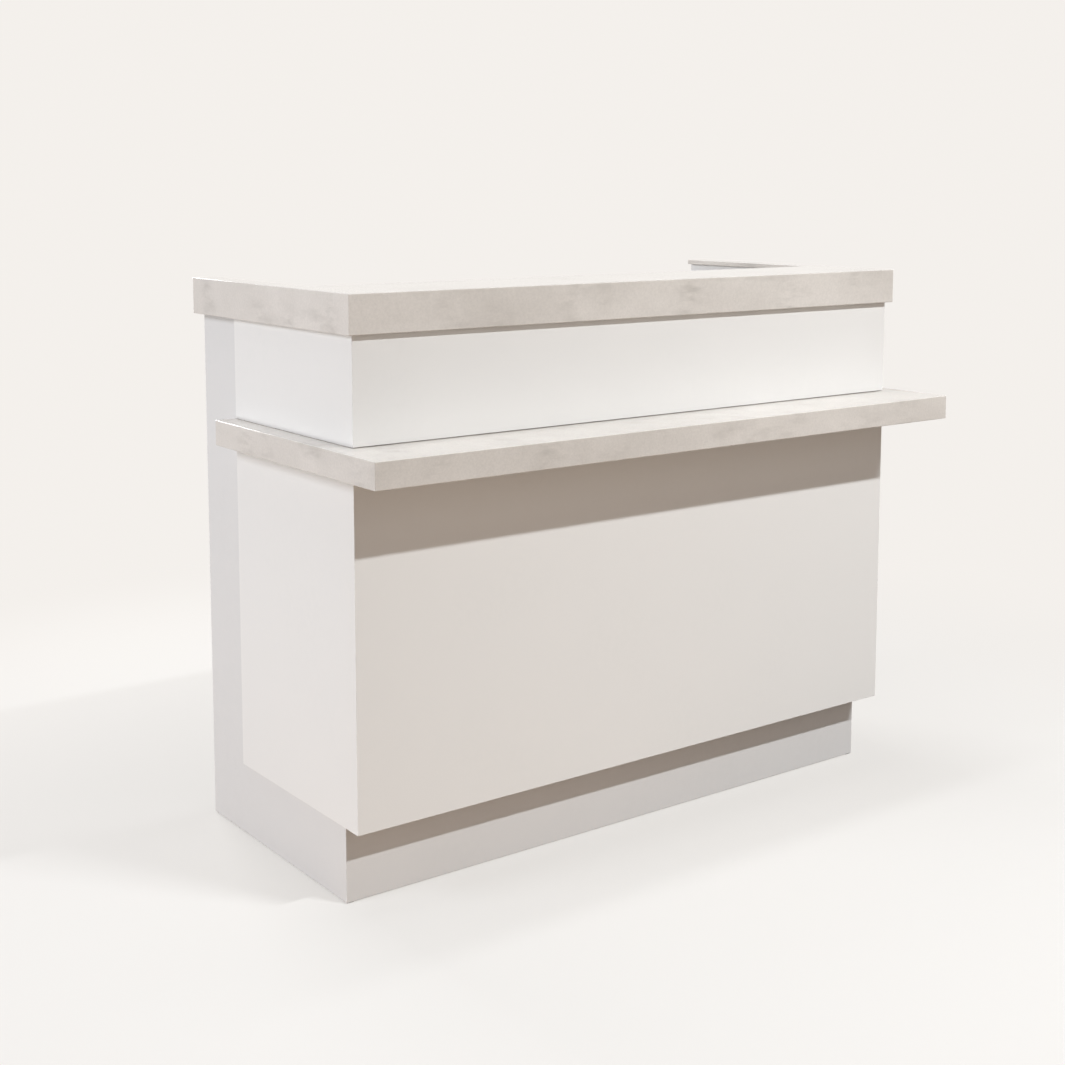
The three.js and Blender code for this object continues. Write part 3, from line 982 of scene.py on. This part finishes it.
# a channel of folded sheet: a web, two flanges that reach out from it along X, and turned edges
def rollChannel(node, body, reachWay, lipsOut):
    low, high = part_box(node)
    metal, lip = runnerSettings["metal"], runnerSettings["lip"]
    back, tip = (low.x, high.x) if reachWay > 0 else (high.x, low.x)
    webFace = back + reachWay * metal
    tuck = lip if lipsOut else 0
    bottom, top = low.z + tuck, high.z - tuck
    middleZ = (bottom + top) / 2
    flangeStart = (top - bottom) / 2 - metal
    webLow = (min(back, webFace), low.y, bottom)
    webHigh = (max(back, webFace), high.y, top)
    channel = startBlock(f"{node}_channel", webLow, webHigh)
    cutAcross(channel, zAxis, (bottom + metal, top - metal))

    def isFlange(middle, normal):
        return normal.x * reachWay > 0.9 and abs(middle.z - middleZ) > flangeStart

    pullFaces(channel, isFlange, (tip - webFace, 0, 0))
    lipX = tip - reachWay * metal
    cutAcross(channel, xAxis, (lipX,))
    for side in (-1, 1):
        way = side if lipsOut else -side

        def isLip(middle, normal):
            onTip = (middle.x - lipX) * reachWay > 0
            return normal.z * way > 0.9 and (middle.z - middleZ) * side > 0 and onTip

        pullFaces(channel, isLip, (0, 0, way * lip))
    easeArrises(channel, runnerSettings["fold"], 2)
    finishPiece(channel, body, "zinc_steel", [zincSteel], node)
    length = high.y - low.y
    places = [(webFace, low.y + share * length, middleZ) for share in runnerSettings["screwsAlong"]]
    screws = setCopies(screwModel, f"{node}_screws", places, (reachWay, 0, 0))
    finishPiece(screws, body, "zinc_steel", [zincSteel])


def makeDrawer(name):
    body = f"{name}_drawer"
    bandedBoard(f"{name}_drawer_front", body)
    makeWrap(name)
    makeHandle(name)
    for side, inward in (("left", 1), ("right", -1)):
        rollChannel(f"{name}_drawer_{side}_rail", "desk", inward, False)
        rollChannel(f"{name}_drawer_{side}_runner", body, -inward, True)
    print(name, "drawer made")


for drawerName in drawerSettings["names"]:
    makeDrawer(drawerName)
bpy.data.objects.remove(screwModel)
bpy.data.objects.remove(coverCapModel)


# stage: a pale floor that fades into the background, and soft studio light
stageSettings = {
    "background": (0.905, 0.873, 0.838, 1),
    "floorSize": 60,
    "floorColour": (0.66, 0.645, 0.625, 1),
    "floorGlow": 0.55,  # share of the background's own colour in the floor beside the desk
    "glowFade": (0.9, 2.4),  # distances over which the floor becomes background
    "bounceNear": (0.41, 0.314, 0.238, 1),  # what the floor throws back on the desk
    "bounceFar": (0.165, 0.12, 0.086, 1),
    "bounceFade": (0.6, 1.7),  # distances from its middle
    "bounceMiddle": (-0.9, -0.55, 0.0),
    "fill": (1.0, 0.90, 0.83, 1),
    "fillStrength": 0.20,
}
# the side lamps and the broad front one stay out of the gloss, or they would mirror as white panes
lampSettings = {
    "key": {
        "place": (1.55, -3.6, 4.13),
        "aim": (1.55, -4.45, -0.02),
        "size": (1.28, 0.19),
        "power": 405,
        "colour": (0.93, 0.97, 1.0),
        "mirrored": True,
    },
    "front": {
        "place": (0.2, -3.6, 2.0),
        "aim": (0.2, -0.2, 0.7),
        "size": (3.0, 1.8),
        "power": 15,
        "colour": (1.0, 0.955, 0.915),
        "mirrored": False,
    },
    "ceiling": {
        "place": (-0.4, 0.1, 6.0),
        "aim": (-0.4, 0.1, 0.0),
        "size": (4.5, 0.45),
        "power": 100,
        "colour": (0.93, 0.97, 1.0),
        "mirrored": True,
    },
    "side": {
        "place": (-4.2, 0.4, 2.9),
        "aim": (-0.65, 0.1, 0.6),
        "size": (1.5, 1.2),
        "power": 75,
        "colour": (0.865, 0.918, 1.0),
        "mirrored": False,
    },
    "low_side": {
        "place": (-4.6, 0.55, 0.5),
        "aim": (-0.65, 0.1, 0.35),
        "size": (1.6, 0.9),
        "power": 65,
        "colour": (0.93, 0.96, 1.0),
        "mirrored": False,
    },
    "far_side": {
        "place": (4.4, 0.3, 0.55),
        "aim": (0.65, 0.1, 0.55),
        "size": (2.4, 0.9),
        "power": 48,
        "colour": (0.95, 0.975, 1.0),
        "mirrored": False,
    },
    "staff": {
        "place": (-0.3, 3.0, 1.7),
        "aim": (0.0, 0.2, 0.55),
        "size": (1.2, 1.2),
        "power": 68,
        "colour": (0.97, 0.985, 1.0),
        "mirrored": True,
    },
}


def seenDirectly(tree):
    rays = addNode(tree, "ShaderNodeLightPath").outputs
    seen = addMath(tree, "ADD", rays["Is Camera Ray"], rays["Is Glossy Ray"])
    return addMath(tree, "ADD", seen, rays["Is Transmission Ray"])


def lightWorld():
    world = bpy.data.worlds.new("studio")
    scene.world = world
    world.use_nodes = True
    tree = world.node_tree
    tree.nodes.clear()
    shown = addNode(tree, "ShaderNodeBackground", {"Color": stageSettings["background"], "Strength": 1.0})
    fillSockets = {"Color": stageSettings["fill"], "Strength": stageSettings["fillStrength"]}
    fill = addNode(tree, "ShaderNodeBackground", fillSockets)
    mix = addNode(tree, "ShaderNodeMixShader")
    output = addNode(tree, "ShaderNodeOutputWorld")
    tree.links.new(seenDirectly(tree), mix.inputs["Fac"])
    tree.links.new(fill.outputs[0], mix.inputs[1])
    tree.links.new(shown.outputs[0], mix.inputs[2])
    tree.links.new(mix.outputs[0], output.inputs["Surface"])


def fadeOver(tree, distance, edges, near, far):
    sockets = {"From Min": edges[0], "From Max": edges[1], "To Min": near, "To Max": far}
    fade = addNode(tree, "ShaderNodeMapRange", sockets, interpolation_type="SMOOTHSTEP")
    tree.links.new(distance, fade.inputs["Value"])
    return fade.outputs["Result"]


def distanceFrom(tree, place, middle):
    node = addNode(tree, "ShaderNodeVectorMath", operation="DISTANCE")
    tree.links.new(place, node.inputs[0])
    node.inputs[1].default_value = middle
    return node.outputs["Value"]


def layFloor():
    s = stageSettings
    bpy.ops.object.select_all(action="DESELECT")
    bpy.ops.mesh.primitive_plane_add(size=s["floorSize"])
    floor = settlePrimitive("studio_floor")
    material = bpy.data.materials.new("studio_floor")
    material.use_nodes = True
    tree = material.node_tree
    tree.nodes.clear()
    place = addNode(tree, "ShaderNodeTexCoord").outputs["Object"]
    distance = distanceFrom(tree, place, (0, 0, 0))
    bounceDistance = distanceFrom(tree, place, s["bounceMiddle"])
    seen = seenDirectly(tree)
    glowShare = addMath(tree, "MULTIPLY", fadeOver(tree, distance, s["glowFade"], s["floorGlow"], 1.0), seen)
    bounceShare = fadeOver(tree, bounceDistance, s["bounceFade"], 0.0, 1.0)
    bounce = mixColours(tree, bounceShare, s["bounceNear"], s["bounceFar"])
    floorColour = mixColours(tree, seen, bounce, s["floorColour"])
    matt = addNode(tree, "ShaderNodeBsdfDiffuse")
    tree.links.new(floorColour, matt.inputs["Color"])
    glow = addNode(tree, "ShaderNodeEmission", {"Color": s["background"], "Strength": 1.0})
    mix = addNode(tree, "ShaderNodeMixShader")
    output = addNode(tree, "ShaderNodeOutputMaterial")
    tree.links.new(glowShare, mix.inputs["Fac"])
    tree.links.new(matt.outputs[0], mix.inputs[1])
    tree.links.new(glow.outputs[0], mix.inputs[2])
    tree.links.new(mix.outputs[0], output.inputs["Surface"])
    floor.data.materials.append(material)


def hangLamp(name, settings):
    place = Vector(settings["place"])
    bpy.ops.object.light_add(type="AREA", location=place)
    lamp = bpy.context.object
    lamp.name = f"{name}_lamp"
    lamp.rotation_euler = (Vector(settings["aim"]) - place).to_track_quat("-Z", "Y").to_euler()
    lamp.data.shape = "RECTANGLE"
    lamp.data.size, lamp.data.size_y = settings["size"]
    lamp.data.energy = settings["power"]
    lamp.data.color = settings["colour"]
    lamp.visible_glossy = settings["mirrored"]


lightWorld()
layFloor()
for lampName, lampValues in lampSettings.items():
    hangLamp(lampName, lampValues)
print("stage lit")
